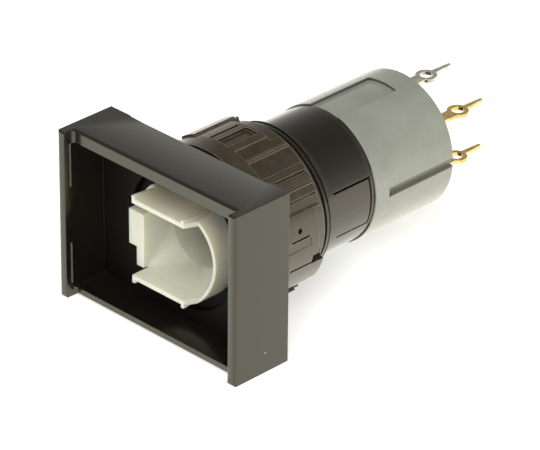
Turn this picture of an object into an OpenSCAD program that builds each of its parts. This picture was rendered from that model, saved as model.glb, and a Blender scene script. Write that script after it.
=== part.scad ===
// Illuminated pushbutton switch for a round panel hole, without its lens and lamp.
// Millimetres. The panel face is the plane Y = 0, the barrel runs along +Y behind the panel,
// X runs across the bezel and +Z is up. The origin is on the barrel's axis.

/* [Bezel] */
// Width of the bezel across its end walls
bezel_w = 24; // [22.4:0.2:30]
// Height of the bezel
bezel_h = 18; // [18:0.2:24]
// Distance from the panel to the front of the top and bottom walls
bezel_depth = 5.8; // [5.4:0.1:8]
// How far the end walls stand in front of the top and bottom walls
end_wall_rise = 1.2; // [0.8:0.1:2]
// Thickness of the end walls
end_wall = 0.95; // [0.8:0.05:1.4]
// Thickness of the top wall
top_wall = 1.35; // [1:0.05:1.8]
// Thickness of the bottom wall
bottom_wall = 0.85; // [0.7:0.05:1.6]
// Thickness of the bezel behind the lens pocket
floor_t = 2; // [1.8:0.1:2.8]
// Chamfer along the outer front edges
edge_chamfer = 0.3; // [0.1:0.05:0.5]
// Fillet between an end wall and the front of the top and bottom walls
corner_r = 0.7; // [0.3:0.1:0.8]
// Radius of the snap ridges on the end walls
ridge_r = 0.18; // [0.12:0.02:0.26]

/* [Barrel] */
// How far the shoulder that centres the switch in the panel hole stands over the thread
shoulder_step = 0.2; // [0.1:0.05:0.3]
// Length of the shoulder
shoulder_len = 0.8; // [0.6:0.1:1.2]
// Length of the barrel behind the panel face
barrel_len = 10.1; // [9.6:0.1:12]
// Chamfer at the end of the thread
thread_chamfer = 0.25; // [0.1:0.05:0.4]
// Clearance round the lens carrier in the front counterbore
mouth_gap = 1.2; // [0.5:0.1:1.3]

/* [Fixing nut] */
// Distance from the top and bottom of the bezel in to the lands of the nut
nut_inset = 0.25; // [0.1:0.05:0.35]
// Wall of the nut between its lands and its thread
nut_wall = 0.95; // [0.8:0.05:1.1]
// Length of the nut
nut_len = 7.75; // [7:0.05:8.2]
// Wall of the nut's rear rim
nut_rim = 0.45; // [0.35:0.05:0.6]
// Length of the smooth collar in front
nut_collar = 1.8; // [1.4:0.05:2.2]
// Depth of the tool pockets
nut_pocket = 0.35; // [0.2:0.05:0.4]
// Height of the grip bar over the lands
nut_bar = 0.2; // [0.1:0.05:0.4]

/* [Lens carrier] */
// Outer diameter of the carrier's tube
carrier_d = 12; // [11.8:0.05:12.2]
// Distance from the panel to the front of the two flaps
flap_reach = 5.4; // [5:0.1:6]
// Distance from the panel to the rim at the side
rim_reach = 3.6; // [3.3:0.1:3.8]
// Width of the flaps
flap_w = 7; // [6:0.1:8]
// Height across the two flaps at their front edges
flap_h = 8.7; // [8.5:0.1:9.2]
// Thickness of a flap at its front edge
flap_t = 0.45; // [0.35:0.05:0.6]
// Clearance round the lamp holder in the carrier's bore
holder_room = 0.15; // [0.1:0.05:0.3]
// Travel of the button
travel = 3; // [2:0.1:3.2]

/* [Rear sleeve] */
// How far the rear sleeve lies below the housing behind it
sleeve_step = 0.15; // [0.05:0.05:0.25]
// Length of the sleeve behind the barrel
sleeve_len = 6.7; // [6.5:0.1:8]
// Half angle of each latch tongue
tongue_angle = 20.6; // [14:0.2:24]
// Width of the slits round a latch tongue
slit_w = 0.2; // [0.16:0.02:0.3]

/* [Lamp holder] */
// Bore of the lamp holder
holder_bore_d = 5.9; // [5.7:0.05:6.0]
// Wall of the lamp holder's tube
holder_wall = 0.5; // [0.4:0.02:0.54]
// Thickness of the lamp holder's flange
flange_t = 0.58; // [0.4:0.02:0.8]

/* [Switching element] */
// Outer diameter of the housing
housing_d = 14.4; // [14.2:0.1:15]
// Length of the housing
housing_len = 11.1; // [11:0.1:12.5]
// Wall of the housing
housing_wall = 1; // [0.9:0.05:1.2]
// Width of the long grooves at the sides
groove_w = 1; // [0.6:0.1:1.6]
// Depth of the grooves
groove_t = 0.5; // [0.3:0.05:0.6]
// Angle that a latch pocket takes at the top and bottom
pocket_angle = 31; // [24:1:40]
// Length of a latch pocket
pocket_len = 8.15; // [6:0.05:9]
// Depth of a latch pocket
pocket_t = 0.35; // [0.2:0.05:0.5]
// Thickness of the terminal base
base_t = 1.3; // [1:0.1:1.6]
// Thickness of the contact levers
lever_t = 0.25; // [0.15:0.05:0.3]
// Swing of a contact lever in degrees
lever_swing = 7; // [4:0.5:7]

/* [Terminals] */
// Length of the terminals behind the housing
terminal_reach = 6.9; // [6:0.1:9]
// Distance from the housing's end to the solder eyes
eye_reach = 3.4; // [2.6:0.1:4]
// Diameter round a solder eye
eye_d = 2.2; // [2:0.1:2.4]
// Hole of a solder eye
eye_hole_d = 1.3; // [1:0.1:1.5]
// Thickness of the terminals
blade_t = 0.35; // [0.3:0.05:0.5]
// Width of the terminals' necks
neck_w = 1.3; // [1:0.1:1.4]
// Width of the terminals' tips next to the eye
tip_w = 0.7; // [0.5:0.05:0.9]
// Width of the terminals' tips at their ends
tip_end_w = 0.36; // [0.3:0.02:0.46]
// Distance of the contact terminals from the side wall of the housing
side_inset = 1.85; // [1.7:0.05:2]
// Distance of the outer contact terminals from the top and bottom wall of the housing
outer_inset = 3; // [2.9:0.05:3.2]
// Height of the common terminals below or above the middle
common_y = 1.9; // [1.7:0.05:2]
// Distance of the lamp terminals from the wall of the housing
lamp_inset = 0.7; // [0.6:0.05:1]

/* [Fits] */
// Radial clearance of the running fits
run_gap = 0.07; // [0.04:0.01:0.1]
// Clearance of parts that seat in each other
seat_gap = 0.05; // [0.02:0.01:0.08]

/* [Hidden] */
$fn = 96;
over = 1;

// Bezel and lens pocket
half_w = bezel_w / 2;
half_h = bezel_h / 2;
end_front = -(bezel_depth + end_wall_rise);
pocket_x = half_w - end_wall;
pocket_top = half_h - top_wall;
pocket_bottom = -(half_h - bottom_wall);
pocket_r = 0.5;
end_edge = 0.15;
ridge_z = -(bezel_depth + 0.4);
ridge_sink = 0.06;
ridge_spans = [[3, pocket_top], [pocket_bottom + 0.65, -3.1]];

// Back of the bezel: two lands that sit on the panel, a relief and a groove for the gasket
nut_r = half_h - nut_inset;
nut_bore_r = nut_r - nut_wall;
nut_rim_r = nut_bore_r + nut_rim;
thread_r = nut_bore_r - seat_gap;
shoulder_r = thread_r + shoulder_step;
housing_r = housing_d / 2;
housing_in = housing_r - housing_wall;
relief_x = nut_r + nut_bar + 0.35;
relief_t = 0.15;
groove_in = shoulder_r + 0.15;
groove_out = nut_r - 0.1;
gasket_depth = 0.6;
gasket_proud = 0.1;
core_x = half_w - 1;
core_w = 1.1;
core_t = floor_t - 1.2;
core_h = half_h - 1.4;

// Barrel
carrier_r = carrier_d / 2;
guide_r = carrier_r + run_gap;
mouth_r = carrier_r + mouth_gap;
guide_z = -1.2;
seat_r = guide_r + 0.68;
seat_z = barrel_len - 2.3;

// Nut
nut_z = shoulder_len + seat_gap;
nut_end = nut_z + nut_len;
collar_z = nut_z + nut_collar;
cut_z = collar_z + 0.05;
land_end = nut_end - 0.5;
low_end = nut_end - 1.2;
step_end = nut_end - 1.6;
collar_taper = 0.15;
nut_half = 180;
nut_start = -54;
nut_stop = nut_start + nut_half;
high_start = 20.8;
high_stop = 73.2;
low_start = -14.5;
bar_start = 112;
bar_stop = 125;
bar_end = nut_end - 0.7;
land_step = 0.12;
fine_step = 0.3;
fine_front = 1.35;
nut_hole_r = 0.3;
nut_hole_t = 0.5;
nut_hole_z = collar_z + 2.3;
nut_notch = 0.65;
nut_notch_start = -18;
nut_notch_stop = -11;

// Lens carrier
carrier_end = seat_z - travel - 0.2;
holder_in = holder_bore_d / 2;
holder_out = holder_in + holder_wall;
lamp_bore_r = holder_out + holder_room;
funnel_z = 0.1;
funnel_reach = rim_reach;
funnel_skin = 0.02;
rim_t = 0.3;
rim_lead = 0.45;
flap_slope = 0.05;
flat_reach = 0.4;
hook_root = flat_reach + 0.8;
flat_x = sqrt(pow(carrier_r, 2) - pow(flap_h / 2, 2));
flap_in = flap_h / 2 - flap_t;
left_wall_x = -lamp_bore_r;
left_reach = 2.4;
lug_reach = rim_reach + 0.2;
lug_top = 1.9;
lug_bottom = -1.85;
lug_edge = 0.02;
lug_x = -(carrier_r - 0.4);
lug_root = 0.3;
hook_t = 0.4;
key_x = -(carrier_r - 1.45);
key_bottom = -flap_in + 0.05;
hook_w = 0.35;
hook_h = 0.35;
web_t = 1.3;
return_wire = 0.45;
spring_out = carrier_r - 0.85;
spring_in = spring_out - return_wire - 0.35;
return_turns = 5.5;
leg_w = 2.6;
leg_out = carrier_r - 0.05;
leg_in = carrier_r - 0.8;
leg_root = 0.5;
foot_t = 1;
foot_in = 4.3;
flange_z = seat_z + 0.02;
leg_end = flange_z + flange_t + seat_gap + foot_t;

// Rear sleeve and what is in it
sleeve_r = housing_r - sleeve_step;
sleeve_end = barrel_len + sleeve_len;
spigot_r = seat_r - seat_gap;
sleeve_bore = carrier_r + 0.2;
tongue_front = barrel_len + 1.3;
tongue_low_front = barrel_len + 1.9;
tongue_end = sleeve_end - 0.45;
rear_spigot_len = 1.2;
rear_spigot_root = 0.3;
rear_spigot_in = housing_in - 0.6;
sleeve_wall_over = 0.1;
front_spigot_root = 0.5;

// Lamp holder
holder_front = seat_z - 3.9;
holder_back = seat_z + 4.2;
holder_floor_t = 0.8;
centre_hole_r = 0.9;
window_w = 0.7;
window_front = 0.3;
window_back = 0.6;
holder_end = holder_back + holder_floor_t;
strip_t = 0.25;
strip_w = 1.2;
strip_front = seat_z + 0.8;
strip_end = holder_end + 1.8;
contact_z = seat_z + 1.7;
tab_w = 0.5;
tab_proud = 0.15;
button_r = 0.55;
feed_w = 0.7;
leg_room = 0.3;
leg_back = 0.25;

// Slider: its arms meet the carrier's feet, which rest behind the lamp holder's flange
arm_z = leg_end + 0.05;
yoke_z = holder_end + 0.8;
yoke_t = 1.2;
yoke_x = rear_spigot_in - 0.3;
arm_in = 4.2;
slider_w = 3.5;
slider_end = yoke_z + yoke_t + 6.7;
slider_bore_r = 1.45;
slider_bore_z = slider_end - 3.5;
slider_wire = 0.3;
slider_turns = 9;
slider_coil_r = slider_bore_r - slider_wire;
peg_z = slider_end - 1.5;
peg_r = 0.25;
peg_x = 2.5;

// Switching element
housing_z = sleeve_end;
housing_end = housing_z + housing_len;
base_r = housing_in + 0.2;
base_recess = 0.3;
base_end = housing_end - base_recess;
base_z = base_end - base_t;
guide_wall_z = yoke_z + yoke_t + travel + 0.4;
guide_wall_t = 0.8;
groove_z = housing_z + 1.85;
rear_chamfer = 0.25;
slider_room = 0.1;
feed_room = 0.2;
side_x = housing_in - side_inset;
outer_y = housing_in - outer_inset;
lamp_y = housing_in - lamp_inset;
feed_drop = 0.6;
feed_y = lamp_y - feed_drop;
feed_in = feed_y - 0.3;
feed_out = feed_y + strip_t + 0.35;
post_r = 0.5;
stop_gap = 0.03;
pin_r = 0.75;
pin_len = 1.4;
pin_root = 0.2;
slot_gap = 0.04;
cross_w = 0.6;
cross_x = 2.6;
cross_y = 3.4;
cross_t = 0.4;

// Contacts: a lever hangs on a common terminal and carries a rivet near its free end
lever_z = housing_z + 5.2;
lever_room = 0.2;
lever_tip = outer_y - blade_t / 2 - lever_room;
ear_w = 0.5;
ear_x = 0.35;
ear_root = 0.1;
knuckle_r = 0.2;
knuckle_z = lever_z + lever_t / 2;
rivet_r = 0.45;
rivet_y = lever_tip - rivet_r;
ear_y = rivet_y - 0.9;
rivet_t = 0.35;
lever_span = rivet_y + common_y;
contact_gap = lever_span * tan(lever_swing) + 0.03;
closed_gap = 0.02;
snap_r = 0.26;
snap_wire = 0.11;
snap_turns = 9;
tab_t = 0.25;
pad_t = 0.25;
tab_in = rivet_y - 0.5;
make_pad_z = lever_z + lever_t + rivet_t + contact_gap;
break_pad_z = lever_z - rivet_t - closed_gap;
terminal_end = housing_end + terminal_reach;
eye_z = housing_end + eye_reach;
tip_round = 0.1;
feed_rise = 1.2;
feed_z = strip_end + 0.02;

// Drawing is done with x across, y up and z into the panel, and stand() turns it upright
module stand() {
    mirror([0, 1, -1]) children();
}

module rod(r, z0, z1) {
    translate([0, 0, z0]) cylinder(r = r, h = z1 - z0);
}

module tube(r_out, r_in, z0, z1) {
    difference() {
        rod(r_out, z0, z1);
        rod(r_in, z0 - over, z1 + over);
    }
}

module block(x0, x1, y0, y1, z0, z1) {
    translate([min(x0, x1), min(y0, y1), z0]) cube([abs(x1 - x0), abs(y1 - y0), z1 - z0]);
}

// Prism along x of an outline given in y and z
module prism_x(length) {
    rotate([90, 0, 90]) linear_extrude(length, center = true) children();
}

// Prism along y of an outline given in x and z
module prism_y(length) {
    rotate([90, 0, 0]) linear_extrude(length, center = true) children();
}

// Rectangle with round corners
module round_rect(x0, x1, y0, y1, r) {
    translate([x0 + r, y0]) square([x1 - x0 - 2 * r, y1 - y0]);
    translate([x0, y0 + r]) square([x1 - x0, y1 - y0 - 2 * r]);
    for (x = [x0 + r, x1 - r], y = [y0 + r, y1 - r]) translate([x, y]) circle(r, $fn = 32);
}

// Part of a disc between two angles
module sector(a0, a1, r) {
    steps = 6;
    polygon(concat([[0, 0]], [
        for (i = [0 : steps]) let (a = a0 + (a1 - a0) * i / steps) r * [cos(a), sin(a)]
    ]));
}

// Cut into the outside of a round part between two angles
module ring_cut(a0, a1, r_floor, r_out, z0, z1) {
    intersection() {
        tube(r_out + over, r_floor, z0, z1);
        translate([0, 0, z0 - over]) linear_extrude(z1 - z0 + 2 * over) sector(a0, a1, 1.5 * r_out);
    }
}

// Straight cut of one width along a round part, centred on an angle
module slot_cut(angle, width, r_floor, r_out, z0, z1) {
    rotate([0, 0, angle]) block(r_floor, r_out + over, -width / 2, width / 2, z0, z1);
}

// Height along a coil spring, whose turns lie close at both ends
function coil_z(t, turns, wire, length) =
    let (closed = 0.9, pitch = 1.12 * wire, n = t * turns)
    n < closed ? n * pitch :
    n > turns - closed ? length - (turns - n) * pitch :
    closed * pitch + (n - closed) * (length - 2 * closed * pitch) / (turns - 2 * closed);

module coil(r, wire, length, turns, ring_steps, sides) {
    steps = ceil(turns * ring_steps);
    points = [for (i = [0 : steps], k = [0 : sides - 1])
        let (t = i / steps, a = 360 * turns * t, b = 360 * k / sides, q = r + wire / 2 * cos(b))
        [q * cos(a), -q * sin(a), wire / 2 + coil_z(t, turns, wire, length - wire) + wire / 2 * sin(b)]];
    walls = [for (i = [0 : steps - 1], k = [0 : sides - 1], half = [0, 1])
        let (m = (k + 1) % sides, a = i * sides, b = (i + 1) * sides)
        half == 0 ? [a + k, b + k, b + m] : [a + k, b + m, a + m]];
    first = [for (k = [0 : sides - 1]) k];
    last = [for (k = [sides - 1 : -1 : 0]) steps * sides + k];
    polyhedron(points, concat([first], walls, [last]));
}

module bezel() {
    difference() {
        block(-half_w, half_w, -half_h, half_h, end_front, 0);
        // Between the end walls the front steps back to the top and bottom walls
        prism_y(bezel_h + 2 * over)
            round_rect(-pocket_x, pocket_x, end_front - 4 * over, -bezel_depth, corner_r);
        // Lens pocket
        translate([0, 0, end_front - over]) linear_extrude(-floor_t - end_front + over)
            round_rect(-pocket_x, pocket_x, pocket_bottom, pocket_top, pocket_r);
        // Chamfers on the outer front edges
        for (s = [-1, 1]) {
            translate([s * half_w, 0, end_front]) rotate([0, 45, 0])
                cube([edge_chamfer * sqrt(2), bezel_h + over, edge_chamfer * sqrt(2)], center = true);
            translate([0, s * half_h, -bezel_depth]) rotate([45, 0, 0])
                cube([2 * pocket_x, edge_chamfer * sqrt(2), edge_chamfer * sqrt(2)], center = true);
            translate([0, s * half_h, end_front]) rotate([45, 0, 0])
                cube([bezel_w + over, end_edge * sqrt(2), end_edge * sqrt(2)], center = true);
        }
        // Relief between the two lands, and the groove of the gasket
        difference() {
            block(-relief_x, relief_x, -half_h - over, half_h + over, -relief_t, over);
            rod(groove_in, -over, 2 * over);
        }
        tube(groove_out, groove_in, -gasket_depth, over);
        // Hollows in the back of the thick end parts
        for (s = [-1, 1]) block(s * core_x, s * (core_x - core_w), -core_h, core_h, -core_t, over);
    }
}

// Bezel and threaded barrel, moulded in one piece
module front_housing() {
    color("#232120") stand() {
        difference() {
            union() {
                bezel();
                rod(shoulder_r, -core_t, shoulder_len);
                rod(thread_r, -core_t, barrel_len - thread_chamfer);
                translate([0, 0, barrel_len - thread_chamfer])
                    cylinder(r1 = thread_r, r2 = thread_r - thread_chamfer, h = thread_chamfer);
            }
            rod(mouth_r, -floor_t - over, guide_z);
            rod(guide_r, guide_z - over, seat_z + over);
            rod(seat_r, seat_z, barrel_len + over);
        }
        // Ridges that hold the lens, on both end walls
        for (s = [-1, 1], span = ridge_spans)
            translate([s * (pocket_x + ridge_sink), (span[0] + span[1]) / 2, ridge_z]) rotate([90, 0, 0])
                cylinder(r = ridge_r, h = span[1] - span[0], center = true, $fn = 24);
    }
}

module panel_gasket() {
    color("#161616") stand()
        tube(groove_out - seat_gap, groove_in + seat_gap, -gasket_depth, gasket_proud);
}

// The pattern of tool pockets, grooves and steps fills half a turn and is there twice
module nut_pattern() {
    pocket_r = nut_r - nut_pocket;
    step_r = nut_r - land_step;
    fine_r = nut_r - fine_step;
    // Behind the lands the nut steps in to its rear rim, at a different depth in each sector
    ring_cut(nut_start, nut_stop, nut_rim_r, nut_r + nut_bar, nut_end - 0.15, nut_end + over);
    ring_cut(high_start, high_stop, nut_rim_r, nut_r, land_end, nut_end + over);
    ring_cut(low_start, high_start, nut_rim_r, nut_r, low_end, nut_end + over);
    ring_cut(high_stop, bar_start, nut_rim_r, nut_r, step_end, nut_end + over);
    ring_cut(bar_stop, nut_stop, nut_rim_r, nut_r, step_end, nut_end + over);
    // Tool pockets with ribs between them
    ring_cut(97.2, 99.8, pocket_r, nut_r, cut_z, step_end - 0.3);
    ring_cut(82.2, 92.4, pocket_r, nut_r, cut_z, step_end - 0.4);
    ring_cut(66.9, 76.3, step_r, nut_r, cut_z, land_end + over);
    ring_cut(50.5, 63.6, step_r, nut_r, cut_z, land_end + over);
    // Sunk panel with fine hatching, and slightly lower lands
    ring_cut(21.5, 28.6, step_r - 0.08, nut_r, cut_z, land_end + over);
    ring_cut(30.2, 35.8, step_r + 0.06, nut_r, cut_z, land_end + over);
    ring_cut(-2.4, 4, step_r + 0.04, nut_r, cut_z, low_end - 0.9);
    ring_cut(nut_start, -35.5, step_r - 0.08, nut_r, cut_z, nut_end + over);
    // Narrow grooves
    slot_cut(44.8, 0.22, fine_r, nut_r, collar_z + fine_front, land_end - 0.2);
    slot_cut(65.2, 0.12, fine_r + 0.2, nut_r, cut_z, land_end + over);
    slot_cut(29.4, 0.28, fine_r, nut_r, collar_z + fine_front, land_end - 0.15);
    slot_cut(5.1, 0.22, fine_r, nut_r, collar_z + 1.1, low_end - 1.2);
    slot_cut(-16.6, 0.26, fine_r, nut_r, collar_z + 1.2, low_end);
    // Small blind hole
    rotate([0, 0, 10.8]) translate([nut_r - nut_hole_t, 0, nut_hole_z]) rotate([0, 90, 0])
        cylinder(r = nut_hole_r, h = nut_hole_t + over, $fn = 24);
    // Notch in the rear edge of the lands
    translate([0, 0, low_end - nut_notch]) linear_extrude(nut_end - low_end + nut_notch + over)
        sector(nut_notch_start, nut_notch_stop, nut_r + over);
}

module fixing_nut() {
    color("#2a2422") stand() difference() {
        union() {
            rod(nut_r, collar_z, nut_end);
            translate([0, 0, nut_z])
                cylinder(r1 = nut_r - collar_taper, r2 = nut_r, h = nut_collar);
            // Grip bars
            for (a = [0, nut_half]) intersection() {
                rod(nut_r + nut_bar, collar_z, bar_end);
                translate([0, 0, collar_z]) linear_extrude(bar_end - collar_z)
                    sector(a + bar_start, a + bar_stop, 1.5 * nut_r);
            }
        }
        difference() {
            for (a = [0, nut_half]) rotate([0, 0, a]) nut_pattern();
            rod(nut_rim_r - nut_pocket, nut_z - over, nut_end + 2 * over);
        }
        rod(nut_bore_r, nut_z - over, nut_end + over);
    }
}

// Outside of the carrier's front: flaps with flat outer faces reach past the rim at the side
module carrier_front() {
    far = 1.25 * carrier_r;
    difference() {
        rod(carrier_r, -flap_reach, carrier_end);
        prism_y(2 * far) polygon([
            [flap_w / 2, -flap_reach], [flap_w / 2, -flap_reach - over], [far, -flap_reach - over],
            [far, -rim_reach], [carrier_r, -rim_reach], [flat_x, -rim_reach - rim_lead]
        ]);
        block(-far, -flap_w / 2, -far, far, -flap_reach - over, -left_reach);
        for (s = [-1, 1]) prism_x(2 * far) polygon([
            [s * flap_h / 2, -flap_reach - over], [s * far, -flap_reach - over], [s * far, -flat_reach],
            [s * (flap_h / 2 + (flap_reach - flat_reach) * flap_slope), -flat_reach],
            [s * flap_h / 2, -flap_reach]
        ]);
    }
}

// Mouth of the reflector funnel: flat at three sides and round at the right
module funnel_mouth() {
    intersection() {
        circle(carrier_r - rim_t);
        translate([left_wall_x, -flap_in]) square([2 * carrier_r, 2 * flap_in]);
    }
}

module lens_carrier() {
    color("#dfdbd0") stand() difference() {
        union() {
            carrier_front();
            // Key lug at the left, and the narrower block under it
            intersection() {
                rod(carrier_r - lug_edge, -lug_reach, 0);
                union() {
                    block(lug_x, left_wall_x + lug_root, lug_bottom, lug_top, -lug_reach, 0);
                    block(key_x, left_wall_x + lug_root, key_bottom, lug_bottom, -lug_reach, 0);
                }
            }
            // Hooks at the corners of the flaps, each with a long slope down to the flap behind it
            for (s = [-1, 1], t = [-1, 1]) hull() {
                block(t * flap_w / 2, t * (flap_w / 2 - hook_w), s * flap_in, s * (flap_h / 2 + hook_h),
                    -flap_reach, -flap_reach + hook_t);
                block(t * flap_w / 2, t * (flap_w / 2 - hook_w), s * flap_in, s * flap_h / 2,
                    -flap_reach, -hook_root);
            }
            // Legs that reach back past the lamp holder, with feet that push the slider
            for (s = [-1, 1]) {
                intersection() {
                    tube(leg_out, leg_in, carrier_end - leg_root, leg_end);
                    block(0, s * carrier_r, -leg_w / 2, leg_w / 2, carrier_end - leg_root, leg_end);
                }
                intersection() {
                    rod(leg_out, leg_end - foot_t, leg_end);
                    block(s * foot_in, s * carrier_r, -leg_w / 2, leg_w / 2, leg_end - foot_t, leg_end);
                }
            }
        }
        // Reflector funnel, nearly square in front and round at the lamp
        hull() {
            rod(lamp_bore_r, funnel_z - funnel_skin, funnel_z);
            translate([0, 0, -funnel_reach]) linear_extrude(funnel_skin) funnel_mouth();
        }
        translate([0, 0, -flap_reach - over]) linear_extrude(flap_reach + over - funnel_reach + funnel_skin)
            funnel_mouth();
        rod(lamp_bore_r, funnel_z - 0.01, carrier_end + over);
        // Room for the return spring
        tube(spring_out, spring_in, funnel_z + web_t, carrier_end + over);
    }
}

module return_spring() {
    z0 = funnel_z + web_t;
    color("#b9bcc0") stand() translate([0, 0, z0])
        coil((spring_in + spring_out) / 2, return_wire, seat_z - z0, return_turns, 28, 8);
}

// Two U-shaped slits free a latch tongue at each side
module tongue_slits() {
    a = tongue_angle - 1;
    b = -tongue_angle - 1;
    side = asin(slit_w / 2 / sleeve_bore) + 0.1;
    slot_cut(a, slit_w, sleeve_bore - sleeve_wall_over, sleeve_r, tongue_front, tongue_end - slit_w / 2);
    slot_cut(b, slit_w, sleeve_bore - sleeve_wall_over, sleeve_r, tongue_low_front, tongue_end - slit_w / 2);
    ring_cut(b - side, a + side, sleeve_bore - sleeve_wall_over, sleeve_r, tongue_end - slit_w, tongue_end);
}

module rear_sleeve() {
    color("#26221f") stand() difference() {
        union() {
            tube(sleeve_r, sleeve_bore, barrel_len, sleeve_end);
            tube(spigot_r, sleeve_bore, flange_z + flange_t + 0.02, barrel_len + front_spigot_root);
            tube(sleeve_bore + sleeve_wall_over, rear_spigot_in, tongue_end + 0.05, sleeve_end);
            tube(housing_in - seat_gap, rear_spigot_in,
                sleeve_end - rear_spigot_root, sleeve_end + rear_spigot_len);
        }
        for (a = [0, 180]) rotate([0, 0, a]) tongue_slits();
    }
}

module lamp_holder() {
    window_x = leg_in - leg_back;
    color("#3a3632") stand() difference() {
        union() {
            rod(holder_out, holder_front, holder_end);
            rod(spigot_r, flange_z, flange_z + flange_t);
        }
        rod(holder_in, holder_front - over, holder_back);
        // Hole for the centre contact, and window for the side contact
        rod(centre_hole_r, holder_back - over, holder_end + over);
        block(-window_w, window_w, 0, holder_out + over, contact_z - window_front, contact_z + window_back);
        // Windows for the carrier's legs
        for (s = [-1, 1])
            block(s * window_x, s * (seat_r + over), -leg_w / 2 - leg_room, leg_w / 2 + leg_room,
                seat_z - over, seat_z + 2 * over);
    }
}

module lamp_contact_side() {
    y0 = holder_out + seat_gap;
    color("#c9a227") stand() {
        block(-strip_w / 2, strip_w / 2, y0, y0 + strip_t, strip_front, strip_end);
        block(-tab_w, tab_w, holder_in - tab_proud, y0 + strip_t, contact_z, contact_z + strip_t);
    }
}

module lamp_contact_centre() {
    y0 = holder_out + seat_gap;
    z0 = holder_end + seat_gap;
    color("#c9a227") stand() {
        block(-strip_w / 2, strip_w / 2, -y0 - strip_t, -y0, strip_front, strip_end);
        block(-strip_w / 2, strip_w / 2, -y0 - strip_t, strip_w / 2, z0, z0 + strip_t);
        rod(button_r, holder_back - tab_proud, z0 + strip_t);
    }
}

module switch_housing() {
    color("#878782") stand() difference() {
        union() {
            tube(housing_r, housing_in, housing_z, housing_end);
            rod(housing_in + 0.1, guide_wall_z, guide_wall_z + guide_wall_t);
            // Post that stops the make contact's lever
            translate([side_x, rivet_y, 0]) rod(post_r, guide_wall_z, lever_z - stop_gap);
        }
        rod(base_r, base_z, housing_end + over);
        // Window for the slider and slots for the lamp's feeds
        block(-slider_w / 2 - slider_room, slider_w / 2 + slider_room,
            -slider_w / 2 - slider_room, slider_w / 2 + slider_room,
            guide_wall_z - over, guide_wall_z + guide_wall_t + over);
        for (s = [-1, 1])
            block(-feed_w - feed_room, feed_w + feed_room, s * feed_in, s * feed_out,
                guide_wall_z - over, guide_wall_z + guide_wall_t + over);
        // Grooves at the sides, open to the rear
        for (a = [0, 180]) slot_cut(a, groove_w, housing_r - groove_t, housing_r, groove_z, housing_end + over);
        // Latch pockets at the top and bottom, open to the front
        for (a = [90, 270])
            ring_cut(a - pocket_angle / 2, a + pocket_angle / 2, housing_r - pocket_t, housing_r,
                housing_z - over, housing_z + pocket_len);
        // Chamfer round the rear edge
        difference() {
            rod(housing_r + over, housing_end - rear_chamfer, housing_end + over);
            translate([0, 0, housing_end - rear_chamfer])
                cylinder(r1 = housing_r, r2 = housing_r - rear_chamfer - over, h = rear_chamfer + over);
        }
    }
}

module terminal_base() {
    places = [
        [side_x, outer_y], [side_x, -common_y], [-side_x, -outer_y], [-side_x, common_y],
        [0, lamp_y], [0, -lamp_y]
    ];
    color("#2b2a29") stand() {
        difference() {
            rod(base_r - seat_gap, base_z, base_end);
            for (p = places) block(
                p[0] - neck_w / 2 - slot_gap, p[0] + neck_w / 2 + slot_gap,
                p[1] - blade_t / 2 - slot_gap, p[1] + blade_t / 2 + slot_gap, base_z - over, base_end + over);
            // Shallow cross between the terminals, as a moulded key
            block(-cross_x, cross_x, -cross_w / 2, cross_w / 2, base_end - cross_t, base_end + over);
            block(-cross_w / 2, cross_w / 2, -cross_y, cross_y, base_end - cross_t, base_end + over);
        }
        rod(pin_r, base_z - pin_len, base_z + pin_root);
    }
}

module switch_slider() {
    color("#d8d4c8") stand() difference() {
        union() {
            for (s = [-1, 1]) block(s * arm_in, s * yoke_x, -leg_w / 2, leg_w / 2, arm_z, yoke_z + yoke_t);
            block(-yoke_x, yoke_x, -leg_w / 2, leg_w / 2, yoke_z, yoke_z + yoke_t);
            block(-slider_w / 2, slider_w / 2, -slider_w / 2, slider_w / 2, yoke_z, slider_end);
            // Pegs for the snap springs
            translate([-peg_x, 0, peg_z]) rotate([0, 90, 0]) cylinder(r = peg_r, h = 2 * peg_x, $fn = 24);
        }
        rod(slider_bore_r, slider_bore_z, slider_end + over);
    }
}

module slider_spring() {
    color("#b9bcc0") stand() translate([0, 0, slider_bore_z])
        coil(slider_coil_r, slider_wire, base_z - slider_bore_z, slider_turns, 20, 6);
}

// A lever for one side; the other side is the same, turned half round the barrel's axis
module contact_lever() {
    x0 = side_x - neck_w / 2;
    x1 = side_x + neck_w / 2;
    block(x0, x1, -common_y, lever_tip, lever_z, lever_z + lever_t);
    translate([x0, -common_y, knuckle_z]) rotate([0, 90, 0]) cylinder(r = knuckle_r, h = x1 - x0, $fn = 24);
    block(x0 - ear_x, x0 + ear_root, ear_y, ear_y + ear_w, lever_z, lever_z + lever_t);
}

module rivet(z0, z1) {
    translate([side_x, rivet_y, 0]) rod(rivet_r, z0, z1);
}

module contact_lever_make() {
    color("#b87b4a") stand() contact_lever();
}

module contact_lever_break() {
    color("#b87b4a") stand() rotate([0, 0, 180]) contact_lever();
}

module moving_contact_make() {
    color("#d5d6d8") stand() rivet(lever_z + lever_t, lever_z + lever_t + rivet_t);
}

module moving_contact_break() {
    color("#d5d6d8") stand() rotate([0, 0, 180]) rivet(lever_z - rivet_t, lever_z);
}

module fixed_contact_make() {
    color("#d5d6d8") stand() rivet(make_pad_z, make_pad_z + pad_t);
}

module fixed_contact_break() {
    color("#d5d6d8") stand() rotate([0, 0, 180]) rivet(break_pad_z - pad_t, break_pad_z);
}

// Tension spring from the slider's peg to the lever's ear
module snap_spring() {
    from = [peg_x - 0.1, peg_r + 0.1, peg_z + peg_r];
    to = [side_x - neck_w / 2 - ear_x + 0.1, ear_y + 0.1, lever_z - 0.15];
    d = to - from;
    length = norm(d);
    translate(from) rotate([0, acos(d[2] / length), atan2(d[1], d[0])])
        coil(snap_r, snap_wire, length, snap_turns, 10, 5);
}

module snap_spring_make() {
    color("#b9bcc0") stand() snap_spring();
}

module snap_spring_break() {
    color("#b9bcc0") stand() rotate([0, 0, 180]) snap_spring();
}

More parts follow.
